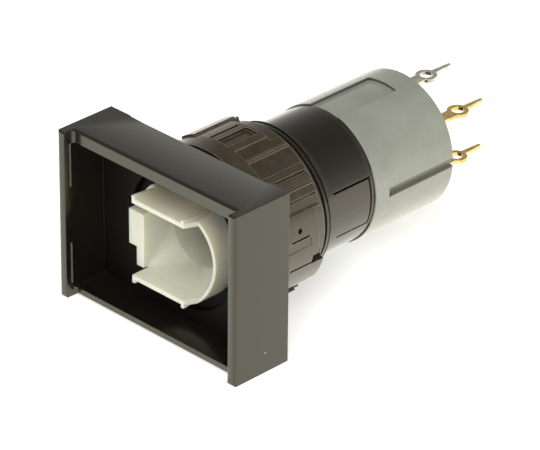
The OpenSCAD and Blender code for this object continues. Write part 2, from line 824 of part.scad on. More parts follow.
// Blade with its solder eye and tip, lying flat, from z0 back to the tip
module blade(z0) {
    prism_y(blade_t) difference() {
        union() {
            translate([-neck_w / 2, z0]) square([neck_w, eye_z - z0]);
            translate([0, eye_z]) circle(eye_d / 2, $fn = 48);
            polygon([
                [-tip_w / 2, eye_z], [tip_w / 2, eye_z], [tip_end_w / 2, terminal_end - tip_round],
                [tip_end_w / 4, terminal_end], [-tip_end_w / 4, terminal_end],
                [-tip_end_w / 2, terminal_end - tip_round]
            ]);
        }
        translate([0, eye_z]) circle(eye_hole_d / 2, $fn = 32);
    }
}

// Lamp terminal: the blade, a step inwards, and a feed that runs to the lamp's contact
module lamp_terminal() {
    step_z = base_z - feed_rise;
    contact_y = holder_out + seat_gap;
    translate([0, lamp_y, 0]) blade(step_z);
    block(-neck_w / 2, neck_w / 2, feed_y, lamp_y + blade_t / 2, step_z, step_z + strip_t);
    block(-feed_w, feed_w, feed_y, feed_y + strip_t, feed_z, step_z + strip_t);
    block(-strip_w / 2, strip_w / 2, contact_y, feed_y + strip_t, feed_z, feed_z + strip_t);
}

module lamp_terminal_top() {
    color("#c6c7c8") stand() lamp_terminal();
}

module lamp_terminal_bottom() {
    color("#c6c7c8") stand() rotate([0, 0, 180]) lamp_terminal();
}

// Fixed contact's terminal, with a tab that holds the contact
module tab_terminal(tab_z, blade_z) {
    translate([side_x, outer_y, 0]) blade(blade_z);
    block(side_x - neck_w / 2, side_x + neck_w / 2, tab_in, outer_y + blade_t / 2, tab_z, tab_z + tab_t);
}

module make_terminal() {
    z0 = make_pad_z + pad_t;
    color("#d9a93c") stand() tab_terminal(z0, z0);
}

module break_terminal() {
    z0 = break_pad_z - pad_t - tab_t;
    color("#d9a93c") stand() rotate([0, 0, 180]) tab_terminal(z0, z0);
}

module common_terminal() {
    translate([side_x, -common_y, 0]) blade(knuckle_z + knuckle_r + seat_gap);
}

module make_common_terminal() {
    color("#d9a93c") stand() common_terminal();
}

module break_common_terminal() {
    color("#d9a93c") stand() rotate([0, 0, 180]) common_terminal();
}

front_housing();
panel_gasket();
fixing_nut();
lens_carrier();
return_spring();
rear_sleeve();
lamp_holder();
lamp_contact_side();
lamp_contact_centre();
switch_housing();
terminal_base();
switch_slider();
slider_spring();
contact_lever_make();
contact_lever_break();
moving_contact_make();
moving_contact_break();
fixed_contact_make();
fixed_contact_break();
snap_spring_make();
snap_spring_break();
lamp_terminal_top();
lamp_terminal_bottom();
make_terminal();
make_common_terminal();
break_terminal();
break_common_terminal();
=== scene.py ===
import math

import bpy
from mathutils import Matrix, Vector


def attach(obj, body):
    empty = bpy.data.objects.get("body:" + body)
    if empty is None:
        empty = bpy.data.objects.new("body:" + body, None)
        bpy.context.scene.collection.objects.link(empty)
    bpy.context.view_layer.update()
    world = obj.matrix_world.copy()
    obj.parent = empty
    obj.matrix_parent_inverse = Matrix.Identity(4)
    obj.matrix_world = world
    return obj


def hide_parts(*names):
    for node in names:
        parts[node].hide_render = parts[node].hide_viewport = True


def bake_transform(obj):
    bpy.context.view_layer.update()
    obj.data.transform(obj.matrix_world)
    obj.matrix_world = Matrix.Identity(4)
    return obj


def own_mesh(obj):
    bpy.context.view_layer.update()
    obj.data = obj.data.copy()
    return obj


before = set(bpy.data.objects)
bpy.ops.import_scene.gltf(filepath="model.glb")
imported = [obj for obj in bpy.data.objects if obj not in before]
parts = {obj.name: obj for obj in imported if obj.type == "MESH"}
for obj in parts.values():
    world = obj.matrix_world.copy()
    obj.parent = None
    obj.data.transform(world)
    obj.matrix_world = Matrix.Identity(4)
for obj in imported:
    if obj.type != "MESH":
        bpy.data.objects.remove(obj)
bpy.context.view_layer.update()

# ---------------------------------------------------------------- front housing
# Bezel and threaded barrel, one moulding in black polycarbonate blend, in a polished mould, so its
# faces mirror the table. Two snap ridges stand on each end wall, a relief at the back leaves two
# lands on the panel, and the thread behind the shoulder takes the ring nut.
MM = 0.001
END_X, POCKET_X, HALF_H = 12.0, 11.05, 9.0
FRONT_Y, WALL_Y, FLOOR_Y, HOLLOW_Y = -7.0, -5.8, -2.0, -0.8
POCKET_TOP, POCKET_LOW = 7.65, -8.15
RELIEF_X, RELIEF_DEEP, GROOVE_R, GROOVE_DEEP, ISLAND_R = 9.3, 0.15, 8.65, 0.6, 8.1
HOLLOW_IN, HOLLOW_OUT, HOLLOW_HALF = 9.9, 11.0, 7.6
GUIDE_Y, SHOULDER_Y, SEAT_Y, COLLAR_Y, BARREL_END = -1.2, 0.8, 7.8, 9.94, 10.1
MOUTH_R, GUIDE_R, SEAT_R = 7.2, 6.07, 6.75
SHOULDER_R, CORE_R, THREAD_R = 7.95, 7.36, 7.75


def start_clean():
    """Nothing is selected, so that the next operator touches only what is picked for it."""
    bpy.ops.object.select_all(action="DESELECT")


def take(piece):
    """Selects one piece and makes it the active one."""
    start_clean()
    piece.select_set(True)
    bpy.context.view_layer.objects.active = piece


def place_here(name):
    """Names the new primitive and puts its size and place into its mesh."""
    piece = bpy.context.object
    piece.name = name
    piece.data.name = name
    bpy.ops.object.transform_apply(location=True, rotation=True, scale=True)
    return piece


def block(name, low, high, turned=(0, 0, 0)):
    """A block between two corners in millimetres, turned about its own middle."""
    start_clean()
    middle = [(a + b) / 2 * MM for a, b in zip(low, high)]
    size = [(b - a) * MM for a, b in zip(low, high)]
    bpy.ops.mesh.primitive_cube_add(size=1, location=middle, rotation=turned, scale=size)
    return place_here(name)


def bar(name, radius, start, end, sides=128):
    """A round bar along the barrel's axis or between two points, in millimetres."""
    start_clean()
    start, end = (Vector(p) if isinstance(p, tuple) else Vector((0, p, 0)) for p in (start, end))
    along = end - start
    bpy.ops.mesh.primitive_cylinder_add(
        vertices=sides, radius=radius * MM, depth=along.length * MM,
        location=(start + end) / 2 * MM, rotation=along.to_track_quat("Z", "Y").to_euler())
    return place_here(name)


def carve(piece, tool, way="DIFFERENCE"):
    """Cuts the tool out of the piece, or adds it, and throws the tool away."""
    change = piece.modifiers.new("change", "BOOLEAN")
    change.object = tool
    change.operation = way
    change.solver = "EXACT"
    take(piece)
    bpy.ops.object.modifier_apply(modifier="change")
    bpy.data.objects.remove(tool)


def pick_edges(piece, wanted):
    """Opens the piece in edit mode with only those edges selected that pass the test, which gets
    an edge's two ends in millimetres and the angle between its faces in degrees."""
    take(piece)
    bpy.ops.object.mode_set(mode="EDIT")
    bpy.ops.mesh.select_mode(type="EDGE")
    bpy.ops.mesh.select_all(action="DESELECT")
    bpy.ops.object.mode_set(mode="OBJECT")
    beside = {}
    for face in piece.data.polygons:
        for key in face.edge_keys:
            beside.setdefault(key, []).append(face.normal.copy())
    for edge in piece.data.edges:
        a, b = (piece.data.vertices[i].co / MM for i in edge.vertices)
        faces = beside.get(tuple(sorted(edge.vertices)), [])
        bend = math.degrees(faces[0].angle(faces[1], 0)) if len(faces) == 2 else 0
        edge.select = wanted(a, b, bend)
    bpy.ops.object.mode_set(mode="EDIT")


def round_picked(width, steps):
    """Rounds the picked edges and leaves edit mode."""
    bpy.ops.mesh.bevel(offset=width * MM, segments=steps, affect="EDGES", clamp_overlap=False)
    bpy.ops.object.mode_set(mode="OBJECT")


def near(a, b):
    """True for two places, in millimetres, that are the same but for rounding."""
    return abs(a - b) < 1e-3


def smooth(piece, angle=30):
    """Smooth shading on every edge that bends less than the angle."""
    take(piece)
    bpy.ops.object.shade_smooth_by_angle(angle=math.radians(angle))


# Whole numbers in a cutting tool's corners only carry it past the faces that it cuts
bezel = block("bezel_and_barrel", (-END_X, FRONT_Y, -HALF_H), (END_X, 0, HALF_H))
pick_edges(bezel, lambda a, b, bend: near(a.y, FRONT_Y) and near(b.y, FRONT_Y) and near(a.x, b.x))
round_picked(width=0.3, steps=6)

# The front steps back between the end walls, with a fillet at each end of the step
step = block("step", (-POCKET_X, -12, -12), (POCKET_X, WALL_Y, 12))
pick_edges(step, lambda a, b, bend: near(a.y, WALL_Y) and near(b.y, WALL_Y) and near(a.x, b.x))
round_picked(width=0.4, steps=8)
carve(bezel, step)

# Pocket of the lens, with small radii in its corners
pocket = block("pocket", (-POCKET_X, -12, POCKET_LOW), (POCKET_X, FLOOR_Y, POCKET_TOP))
pick_edges(pocket, lambda a, b, bend: near(a.x, b.x) and near(a.z, b.z))
round_picked(width=0.2, steps=4)
carve(bezel, pocket)

# Chamfers on the front edges at the top and bottom
for side in (-1, 1):
    for y, half_length, chamfer in ((FRONT_Y, 14, 0.15), (WALL_Y, POCKET_X, 0.24)):
        wide = chamfer * math.sqrt(2) / 2
        carve(bezel, block("chamfer", (-half_length, y - wide, side * HALF_H - wide),
                           (half_length, y + wide, side * HALF_H + wide), (math.pi / 4, 0, 0)))

# Relief and gasket groove at the back, and the hollows behind the thick ends
relief = block("relief", (-RELIEF_X, -RELIEF_DEEP, -12), (RELIEF_X, 2, 12))
groove = bar("groove", GROOVE_R, -GROOVE_DEEP, 2)
for recess in (relief, groove):
    carve(recess, bar("island", ISLAND_R, -3, 3))
    carve(bezel, recess)
for left, right in ((-HOLLOW_OUT, -HOLLOW_IN), (HOLLOW_IN, HOLLOW_OUT)):
    carve(bezel, block("hollow", (left, HOLLOW_Y, -HOLLOW_HALF), (right, 2, HOLLOW_HALF)))

# Barrel: shoulder, core of the thread with a collar at its end, and the bores for the carrier and
# the lamp holder
for name, radius, start, end in (("shoulder", SHOULDER_R, HOLLOW_Y, SHOULDER_Y),
                                 ("core", CORE_R, SHOULDER_Y - 0.3, BARREL_END),
                                 ("collar", THREAD_R, COLLAR_Y, BARREL_END)):
    carve(bezel, bar(name, radius, start, end), "UNION")
for name, radius, start, end in (("mouth", MOUTH_R, -9, GUIDE_Y), ("guide", GUIDE_R, -9, 12),
                                 ("seat", SEAT_R, SEAT_Y, 12)):
    carve(bezel, bar(name, radius, start, end))

# Faint arc in the pocket's floor at the lower left, where the mould's round insert ended
WITNESS_R, WITNESS_WIDE, WITNESS_DEEP = 9.75, 0.07, 0.02
witness = bar("witness", WITNESS_R, -9, FLOOR_Y + WITNESS_DEEP)
carve(witness, bar("island", WITNESS_R - WITNESS_WIDE, -10, 2))
carve(witness, block("lower_left", (-9.3, -12, -6.3), (-7.5, 2, -3.5)), "INTERSECT")
carve(bezel, witness)


def outer_and_sharp(a, b, bend):
    """The long sharp edges of the bezel, but for those in the pocket's floor and at the barrel."""
    outer = all(p.y < FLOOR_Y - 0.5 or near(abs(p.x), END_X) or near(abs(p.z), HALF_H)
                for p in (a, b))
    return outer and bend > 30 and (a - b).length > 1 and max(a.y, b.y) < -0.1


# The bezel's long edges are broken by a hair's breadth
pick_edges(bezel, outer_and_sharp)
round_picked(width=0.06, steps=2)

# Snap ridges for the lens
RIDGE_X, RIDGE_Y, RIDGE_R = 11.11, -6.2, 0.18
for x in (-RIDGE_X, RIDGE_X):
    for low, high in ((3.0, POCKET_TOP), (-7.5, -3.1)):
        carve(bezel, bar("ridge", RIDGE_R, (x, RIDGE_Y, low), (x, RIDGE_Y, high), 24), "UNION")
smooth(bezel)


def wind_up(outline, turns, advance, steps, start):
    """Winds a flat outline round Y into a coil with closed ends, in millimetres."""
    sides = len(outline.data.vertices)
    wind = outline.modifiers.new("wind", "SCREW")
    wind.axis = "Y"
    wind.angle = 2 * math.pi * turns
    wind.screw_offset = advance * MM
    wind.steps = wind.render_steps = steps
    take(outline)
    bpy.ops.object.modifier_apply(modifier="wind")
    bpy.ops.object.mode_set(mode="EDIT")
    bpy.ops.mesh.select_all(action="SELECT")
    bpy.ops.mesh.fill_holes(sides=sides)
    bpy.ops.mesh.normals_make_consistent(inside=False)
    bpy.ops.transform.translate(value=(0, start * MM, 0))
    bpy.ops.object.mode_set(mode="OBJECT")


# The thread is one ridge wound round the core, 0.6 mm from turn to turn and 0.39 mm high. It runs
# out low at the right side, just before the collar at the barrel's end.
THREAD_PITCH, THREAD_TURNS, THREAD_START, THREAD_TURNED = 0.6, 13.6, 1.6, 208
CREST_HALF, FOOT_HALF, FOOT_R, STEPS_PER_TURN = 0.16, 0.28, 7.34, 96
start_clean()
bpy.ops.mesh.primitive_plane_add(size=1)
thread = place_here("barrel_thread")
bpy.ops.object.mode_set(mode="EDIT")
bpy.ops.mesh.delete(type="ONLY_FACE")
bpy.ops.object.mode_set(mode="OBJECT")
for corner in thread.data.vertices:
    radius, half_width = (THREAD_R, CREST_HALF) if corner.co.x > 0 else (FOOT_R, FOOT_HALF)
    corner.co = Vector((radius, math.copysign(half_width, corner.co.y), 0)) * MM
wind_up(thread, turns=THREAD_TURNS, advance=THREAD_PITCH * THREAD_TURNS,
        steps=round(STEPS_PER_TURN * THREAD_TURNS), start=THREAD_START)
thread.rotation_euler = (0, math.radians(THREAD_TURNED), 0)
bpy.ops.object.transform_apply(location=True, rotation=True, scale=True)
smooth(thread)


def paint(code):
    """An sRGB hex colour as the linear values that a shader takes."""
    levels = [int(code[i:i + 2], 16) / 255 for i in (1, 3, 5)]
    return [v / 12.92 if v <= 0.04045 else ((v + 0.055) / 1.055) ** 2.4 for v in levels] + [1.0]


def fill(home, node, sockets):
    """Gives a node's sockets their values, or links them to the outputs of other nodes."""
    for name, value in sockets.items():
        if isinstance(value, bpy.types.NodeSocket):
            home.node_tree.links.new(value, node.inputs[name])
        else:
            node.inputs[name].default_value = value


def add(home, kind, sockets=None, **settings):
    """Adds one node to a material or world, with its settings, and fills its sockets."""
    node = home.node_tree.nodes.new("ShaderNode" + kind)
    for name, value in settings.items():
        setattr(node, name, value)
    fill(home, node, sockets or {})
    return node


def finish_named(name):
    """A new material with only its surface shader: returns both."""
    material = bpy.data.materials.new(name)
    material.use_nodes = True
    return material, material.node_tree.nodes["Principled BSDF"]


def dress(piece, material):
    """Puts the material on every slot of a piece."""
    if not piece.material_slots:
        piece.data.materials.append(material)
    for place in piece.material_slots:
        place.material = material


# Polished black polycarbonate blend: nearly no colour of its own, a clear mirror of the table and
# the tent, a trace of orange peel, and on the right face a finger smudge and one small nick. Here
# and below, a noise's scale is in cells per millimetre: 0.9 / MM is one cell every 1.1 mm.
SMUDGE, NICK = Vector((END_X, -4.4, 1.2)), Vector((END_X, -3.0, -6.87))
black_gloss, shader = finish_named("polished_black_polycarbonate")
spot = add(black_gloss, "TexCoord").outputs["Object"]
peel = add(black_gloss, "TexNoise", {"Vector": spot, "Scale": 0.9 / MM, "Detail": 2.0})
haze = add(black_gloss, "TexNoise", {"Vector": spot, "Scale": 0.22 / MM, "Detail": 3.0})
from_smudge = add(black_gloss, "VectorMath", {0: spot, 1: SMUDGE * MM}, operation="DISTANCE")
smudge = add(black_gloss, "MapRange", {
    "Value": from_smudge.outputs["Value"], "From Min": 0.6 * MM, "From Max": 2.4 * MM,
    "To Min": 0.11, "To Max": 0.0})
streak = add(black_gloss, "TexNoise", {"Vector": spot, "Scale": 2.2 / MM, "Detail": 2.0})
greasy = add(black_gloss, "Math", {0: smudge.outputs["Result"], 1: streak.outputs["Fac"]},
             operation="MULTIPLY")
clean = add(black_gloss, "MapRange", {"Value": haze.outputs["Fac"], "To Min": 0.15, "To Max": 0.21})
rough = add(black_gloss, "Math", {0: clean.outputs["Result"], 1: greasy.outputs["Value"]},
            operation="ADD")
from_nick = add(black_gloss, "VectorMath", {0: spot, 1: NICK * MM}, operation="DISTANCE")
nick = add(black_gloss, "MapRange", {
    "Value": from_nick.outputs["Value"], "From Min": 0.07 * MM, "From Max": 0.13 * MM,
    "To Min": 1.0, "To Max": 0.0})
tint = add(black_gloss, "Mix", {
    0: nick.outputs["Result"], 6: paint("#171510"), 7: paint("#97917f")}, data_type="RGBA")
soft_edge = add(black_gloss, "Bevel", {"Radius": 0.06 * MM}, samples=6)
bump = add(black_gloss, "Bump", {
    "Strength": 0.05, "Distance": 0.02 * MM, "Height": peel.outputs["Fac"],
    "Normal": soft_edge.outputs["Normal"]})
fill(black_gloss, shader, {
    "Base Color": tint.outputs[2], "Roughness": rough.outputs["Value"],
    "Normal": bump.outputs["Normal"], "IOR": 1.58, "Specular IOR Level": 0.55,
    "Specular Tint": (1.0, 0.985, 0.8, 1.0)})

# The pocket's floor and the mouth round the carrier are left matt by the mould's eroded core;
# their black is also painted darker there, as shade in the deep pocket.
matt_shaded_black, shader = finish_named("eroded_and_shaded_black_polycarbonate")
spot = add(matt_shaded_black, "TexCoord").outputs["Object"]
grain = add(matt_shaded_black, "TexNoise", {"Vector": spot, "Scale": 5 / MM, "Detail": 2.0})
shade = add(matt_shaded_black, "MapRange", {"Value": grain.outputs["Fac"], "To Min": 0.5, "To Max": 0.62})
bump = add(matt_shaded_black, "Bump", {
    "Strength": 0.12, "Distance": 0.02 * MM, "Height": grain.outputs["Fac"]})
# Painted shade: this black is darker than the polished one, for the shade deep in the pocket; the
# higher roughness is the real matt finish.
fill(matt_shaded_black, shader, {
    "Base Color": paint("#0b0a08"), "Roughness": shade.outputs["Result"],
    "Normal": bump.outputs["Normal"], "Specular IOR Level": 0.12})

for piece in (bezel, thread):
    dress(piece, black_gloss)
    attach(piece, "housing")
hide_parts("front_housing")
bezel.data.materials.append(matt_shaded_black)
for face in bezel.data.polygons:
    x, y, z = face.center / MM
    if abs(x) < POCKET_X and FLOOR_Y - 0.1 < y < GUIDE_Y + 0.1 and POCKET_LOW < z < POCKET_TOP:
        face.material_index = 1

# ---------------------------------------------------------------- panel gasket
# Flat ring of black nitrile rubber, pressed into the groove at the bezel's back. Moulded matt, with
# a fine grain, it shows as the dark line between the bezel and the nut.
rubber, shader = finish_named("moulded_nitrile_rubber")
spot = add(rubber, "TexCoord").outputs["Object"]
grain = add(rubber, "TexNoise", {"Vector": spot, "Scale": 6 / MM, "Detail": 3.0})
shade = add(rubber, "MapRange", {"Value": grain.outputs["Fac"], "To Min": 0.7, "To Max": 0.86})
bump = add(rubber, "Bump", {"Strength": 0.3, "Distance": 0.02 * MM, "Height": grain.outputs["Fac"]})
fill(rubber, shader, {
    "Base Color": paint("#0f0e0c"), "Roughness": shade.outputs["Result"],
    "Normal": bump.outputs["Normal"]})
dress(parts["panel_gasket"], rubber)


# ---------------------------------------------------------------- ring nut
# Moulded in dark brown-black nylon, filled with glass, so it is satin and slightly mottled, with
# edges painted paler as a highlight where they catch the light. A broad land carries fine axial
# striations and two sunk panels a hatching, each of them twice round the nut.
def degrees_round(home, place):
    """A place's angle round the barrel in degrees, counted from the right side upwards."""
    angle = add(home, "Math", {0: place["Z"], 1: place["X"]}, operation="ARCTAN2")
    return add(home, "Math", {0: angle.outputs["Value"]}, operation="DEGREES").outputs["Value"]


def where(home, *tests):
    """A mask that is 1 where every test holds: a value, a comparison and its limit."""
    mask = 1.0
    for value, comparison, limit in tests:
        holds = add(home, "Math", {0: value, 1: limit}, operation=comparison).outputs["Value"]
        mask = add(home, "Math", {0: mask, 1: holds}, operation="MULTIPLY").outputs["Value"]
    return mask


def set_tones(ramp, low, high):
    """Gives the two ends of a ramp their places and colours."""
    for stop, (place, code) in zip(ramp.color_ramp.elements, (low, high)):
        stop.position, stop.color = place, paint(code)


# Start, stop and spacing in degrees, and depth, of each lined panel. The real lines are about
# 0.1 mm apart; they are drawn 0.2 mm apart, as finer ones don't show.
LINED_PANELS = ((37.5, 59.5, 1.35, 1.0), (21.9, 28.2, 1.15, 1.0), (0.0, 3.5, 1.4, 0.5))
nylon, shader = finish_named("glass_filled_nylon")
spot = add(nylon, "TexCoord").outputs["Object"]
place = add(nylon, "SeparateXYZ", {"Vector": spot}).outputs
half_turn = add(nylon, "Math", {0: degrees_round(nylon, place), 1: 180.0},
                operation="FLOORED_MODULO").outputs["Value"]
lines = 0.0
for start, stop, spacing, depth in LINED_PANELS:
    panel = where(nylon, (half_turn, "GREATER_THAN", start), (half_turn, "LESS_THAN", stop))
    turn = add(nylon, "Math", {0: half_turn, 1: 2 * math.pi / spacing}, operation="MULTIPLY")
    wave = add(nylon, "Math", {0: turn.outputs["Value"]}, operation="SINE")
    deep = add(nylon, "Math", {0: wave.outputs["Value"], 1: depth}, operation="MULTIPLY")
    lined = add(nylon, "Math", {0: deep.outputs["Value"], 1: panel}, operation="MULTIPLY")
    lines = add(nylon, "Math", {0: lines, 1: lined.outputs["Value"]},
                operation="ADD").outputs["Value"]
cloud = add(nylon, "TexNoise", {"Vector": spot, "Scale": 0.7 / MM, "Detail": 3.0})
fibre = add(nylon, "TexNoise", {"Vector": spot, "Scale": 7 / MM, "Detail": 2.0})
tone = add(nylon, "ValToRGB", {"Fac": cloud.outputs["Fac"]})
set_tones(tone, (0.3, "#2a2219"), (0.75, "#3b3124"))
shade = add(nylon, "MapRange", {"Value": cloud.outputs["Fac"], "To Min": 0.2, "To Max": 0.3})
soft_edge = add(nylon, "Bevel", {"Radius": 0.07 * MM}, samples=8)
facing = add(nylon, "NewGeometry")
turned = add(nylon, "VectorMath", {
    0: soft_edge.outputs["Normal"], 1: facing.outputs["Normal"]}, operation="DOT_PRODUCT")
# Painted highlight: where the rounded normal turns away from the face's own, the colour goes
# towards a pale tone, as if the edges caught the light.
painted_edge_highlight = add(nylon, "MapRange", {
    "Value": turned.outputs["Value"], "From Min": 0.995, "From Max": 0.88,
    "To Min": 0.0, "To Max": 0.9})
edge_highlighted_tone = add(nylon, "Mix", {
    0: painted_edge_highlight.outputs["Result"], 6: tone.outputs["Color"], 7: paint("#a2967f")}, data_type="RGBA")
grit = add(nylon, "Bump", {
    "Strength": 0.14, "Distance": 0.02 * MM, "Height": fibre.outputs["Fac"],
    "Normal": soft_edge.outputs["Normal"]})
bump = add(nylon, "Bump", {
    "Strength": 0.5, "Distance": 0.03 * MM, "Height": lines, "Normal": grit.outputs["Normal"]})
fill(nylon, shader, {
    "Base Color": edge_highlighted_tone.outputs[2], "Roughness": shade.outputs["Result"],
    "Normal": bump.outputs["Normal"], "IOR": 1.53, "Specular IOR Level": 0.75,
    "Specular Tint": (1.0, 0.965, 0.82, 1.0)})
dress(parts["fixing_nut"], nylon)

# ---------------------------------------------------------------- lens carrier and its spring
# Carrier in milky polycarbonate, moulded in one piece with its flaps, hooks, reflector and legs.
# Light goes into it and comes out warmer, so the shaded side looks peach-coloured.
milky, shader = finish_named("milky_polycarbonate")
spot = add(milky, "TexCoord").outputs["Object"]
cloud = add(milky, "TexNoise", {"Vector": spot, "Scale": 0.26 / MM, "Detail": 2.0})
tone = add(milky, "ValToRGB", {"Fac": cloud.outputs["Fac"]})
set_tones(tone, (0.3, "#d3d4c6"), (0.75, "#dcdccf"))
skin = add(milky, "TexNoise", {"Vector": spot, "Scale": 2.5 / MM, "Detail": 2.0})
shade = add(milky, "MapRange", {"Value": skin.outputs["Fac"], "To Min": 0.36, "To Max": 0.48})
soft_edge = add(milky, "Bevel", {"Radius": 0.12 * MM}, samples=8)
bump = add(milky, "Bump", {
    "Strength": 0.06, "Distance": 0.03 * MM, "Height": skin.outputs["Fac"],
    "Normal": soft_edge.outputs["Normal"]})
fill(milky, shader, {
    "Base Color": tone.outputs["Color"], "Roughness": shade.outputs["Result"],
    "Normal": bump.outputs["Normal"], "IOR": 1.58, "Subsurface Weight": 0.8,
    "Subsurface Radius": (1.0, 0.76, 0.46), "Subsurface Scale": 1.2 * MM})
dress(parts["lens_carrier"], milky)

# Drawn spring wire, bright, with the die's fine lines and a little oil
drawn_steel, shader = finish_named("drawn_spring_steel")
spot = add(drawn_steel, "TexCoord").outputs["Object"]
streak = add(drawn_steel, "TexNoise", {"Vector": spot, "Scale": 3 / MM, "Detail": 3.0})
shade = add(drawn_steel, "MapRange", {
    "Value": streak.outputs["Fac"], "To Min": 0.2, "To Max": 0.36})
bump = add(drawn_steel, "Bump", {
    "Strength": 0.1, "Distance": 0.01 * MM, "Height": streak.outputs["Fac"]})
fill(drawn_steel, shader, {
    "Base Color": paint("#b9babb"), "Metallic": 1.0, "Roughness": shade.outputs["Result"],
    "Normal": bump.outputs["Normal"]})


def wound_spring(name, mean_r, wire, turns, start, end, sides=12, per_turn=40):
    """A closed-ended wire spring between two points in millimetres, wound right-handed."""
    along = Vector(end) - Vector(start)
    start_clean()
    bpy.ops.mesh.primitive_circle_add(
        vertices=sides, radius=wire / 2 * MM, location=(mean_r * MM, 0, 0))
    spring = place_here(name)
    wind_up(spring, turns, advance=along.length - wire, steps=int(turns * per_turn), start=wire / 2)
    spring.location = Vector(start) * MM
    spring.rotation_euler = along.to_track_quat("Y", "Z").to_euler()
    bpy.ops.object.transform_apply(location=True, rotation=True, scale=True)
    smooth(spring, 60)
    dress(spring, drawn_steel)
    return spring


# The coil round the lamp holder, 6.4 mm long at rest and 3.4 mm when the carrier is pressed
return_coil = wound_spring("return_coil", mean_r=4.75, wire=0.45, turns=5.5,
                           start=(0, 1.4, 0), end=(0, 7.8, 0))
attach(return_coil, "housing")
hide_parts("return_spring")
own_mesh(return_coil)

# ---------------------------------------------------------------- lamp holder and its contacts
# Tube with a flange in dark phenolic moulding, clamped between barrel and sleeve. A side strip and
# a centre strip of rolled spring bronze touch the lamp's base.
phenolic, shader = finish_named("dark_phenolic")
spot = add(phenolic, "TexCoord").outputs["Object"]
fleck = add(phenolic, "TexNoise", {"Vector": spot, "Scale": 2.6 / MM, "Detail": 4.0})
tone = add(phenolic, "ValToRGB", {"Fac": fleck.outputs["Fac"]})
set_tones(tone, (0.35, "#2b241f"), (0.8, "#43382f"))
shade = add(phenolic, "MapRange", {"Value": fleck.outputs["Fac"], "To Min": 0.4, "To Max": 0.55})
soft_edge = add(phenolic, "Bevel", {"Radius": 0.06 * MM}, samples=4)
bump = add(phenolic, "Bump", {
    "Strength": 0.12, "Distance": 0.02 * MM, "Height": fleck.outputs["Fac"],
    "Normal": soft_edge.outputs["Normal"]})
fill(phenolic, shader, {
    "Base Color": tone.outputs["Color"], "Roughness": shade.outputs["Result"],
    "Normal": bump.outputs["Normal"]})
dress(parts["lamp_holder"], phenolic)


def rolled_metal(name, light, dark, low, high):
    """A rolled metal strip: fine lines along the barrel, and tarnish in soft clouds."""
    material, shader = finish_named(name)
    spot = add(material, "TexCoord").outputs["Object"]
    stretched = add(material, "Mapping", {"Vector": spot, "Scale": (9 / MM, 0.7 / MM, 9 / MM)})
    lines = add(material, "TexNoise", {
        "Vector": stretched.outputs["Vector"], "Scale": 1.0, "Detail": 2.0})
    cloud = add(material, "TexNoise", {"Vector": spot, "Scale": 0.9 / MM, "Detail": 3.0})
    tone = add(material, "ValToRGB", {"Fac": cloud.outputs["Fac"]})
    set_tones(tone, (0.32, dark), (0.62, light))
    shade = add(material, "MapRange", {
        "Value": lines.outputs["Fac"], "To Min": low, "To Max": high})
    soft_edge = add(material, "Bevel", {"Radius": 0.05 * MM}, samples=4)
    bump = add(material, "Bump", {
        "Strength": 0.12, "Distance": 0.01 * MM, "Height": lines.outputs["Fac"],
        "Normal": soft_edge.outputs["Normal"]})
    fill(material, shader, {
        "Base Color": tone.outputs["Color"], "Metallic": 1.0,
        "Roughness": shade.outputs["Result"], "Normal": bump.outputs["Normal"]})
    return material


bronze = rolled_metal("rolled_spring_bronze", "#c69a5c", "#9c6f3c", low=0.25, high=0.4)
for node in ("lamp_contact_side", "lamp_contact_centre"):
    dress(parts[node], bronze)

# ---------------------------------------------------------------- rear sleeve
# Black sleeve behind the barrel, moulded semi-gloss, with a latch tongue at each side. The place of
# the maker's print is left bare: it is a smoother, darker field over the top of the sleeve.
sleeve_black, shader = finish_named("moulded_black_polyamide")
spot = add(sleeve_black, "TexCoord").outputs["Object"]
place = add(sleeve_black, "SeparateXYZ", {"Vector": spot}).outputs
degrees = degrees_round(sleeve_black, place)
bare_field = where(sleeve_black, (degrees, "GREATER_THAN", 23.0), (degrees, "LESS_THAN", 102.0),
                   (place["Y"], "GREATER_THAN", 11.0 * MM), (place["Y"], "LESS_THAN", 16.3 * MM))
cloud = add(sleeve_black, "TexNoise", {"Vector": spot, "Scale": 0.5 / MM, "Detail": 3.0})
plain = add(sleeve_black, "MapRange", {
    "Value": cloud.outputs["Fac"], "To Min": 0.13, "To Max": 0.18})
shade = add(sleeve_black, "Mix", {0: bare_field, 2: plain.outputs["Result"], 3: 0.13},
            data_type="FLOAT")
tone = add(sleeve_black, "Mix", {0: bare_field, 6: paint("#2a231c"), 7: paint("#181411")},
           data_type="RGBA")
soft_edge = add(sleeve_black, "Bevel", {"Radius": 0.06 * MM}, samples=6)
bump = add(sleeve_black, "Bump", {
    "Strength": 0.04, "Distance": 0.03 * MM, "Height": cloud.outputs["Fac"],
    "Normal": soft_edge.outputs["Normal"]})
fill(sleeve_black, shader, {
    "Base Color": tone.outputs[2], "Roughness": shade.outputs[0],
    "Normal": bump.outputs["Normal"], "IOR": 1.55, "Specular IOR Level": 0.6,
    "Specular Tint": (1.0, 0.975, 0.84, 1.0)})
dress(parts["rear_sleeve"], sleeve_black)

